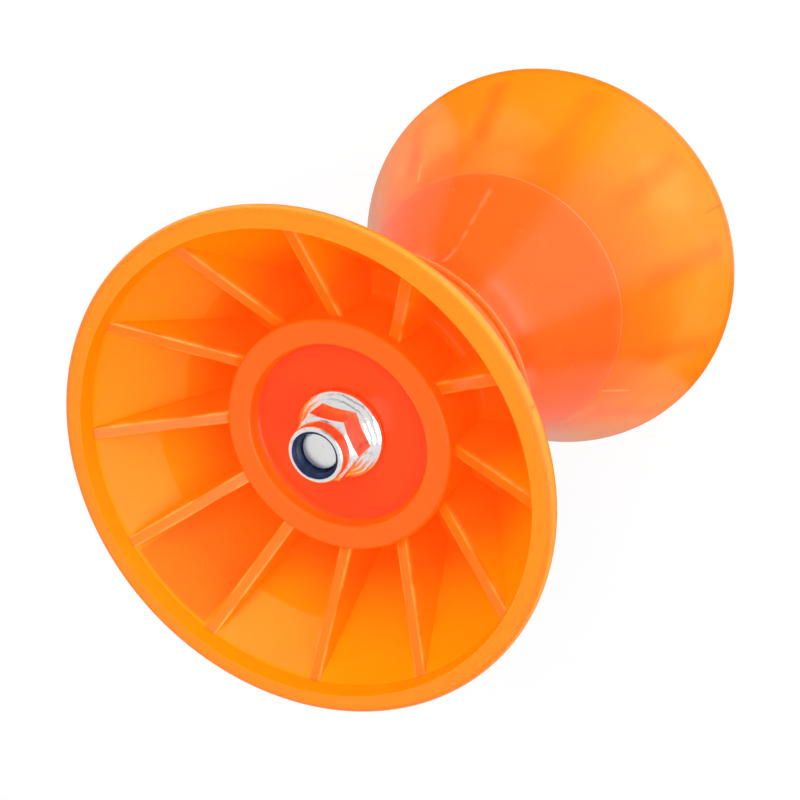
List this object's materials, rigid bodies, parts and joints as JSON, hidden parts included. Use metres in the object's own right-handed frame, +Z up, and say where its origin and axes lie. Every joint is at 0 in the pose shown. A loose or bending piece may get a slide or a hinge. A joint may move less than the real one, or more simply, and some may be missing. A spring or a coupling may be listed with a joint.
{
  "type": "boat trailer roller",
  "caption": "Moulded roller with a waisted drum between two flared, ribbed end bells, turning on a long bolt held by a flanged lock nut.",
  "frame": {"origin": "middle of the lower bell's rim plane, on the bolt's axis", "axes": "+Z up along the bolt, from its head to the lock nut; +X along one rib of the upper bell"},
  "size_m": [0.1206, 0.1206, 0.1686],
  "materials": {
    "orange_bell": "glossy, translucent",
    "orange_drum": "satin, translucent",
    "zinc": "bright zinc plated",
    "nylon": "dark blue nylon"
  },
  "bodies": {
    "axle": {"axle_bolt": "zinc", "lock_nut": "zinc", "nylon_insert": "nylon"},
    "lower_end": {"lower_bell": "orange_bell"},
    "upper_end": {"upper_bell": "orange_bell"},
    "drum": {"centre_roller": "orange_drum"}
  },
  "joints": [
    {"name": "lower_bell_spin", "type": "hinge", "parent": "axle", "child": "lower_end", "pos_m": [0, 0, 0.035], "axis": [0, 0, 1], "continuous": true},
    {"name": "drum_spin", "type": "hinge", "parent": "axle", "child": "drum", "pos_m": [0, 0, 0.0843], "axis": [0, 0, 1], "continuous": true},
    {"name": "upper_bell_spin", "type": "hinge", "parent": "axle", "child": "upper_end", "pos_m": [0, 0, 0.1336], "axis": [0, 0, 1], "continuous": true}
  ]
}
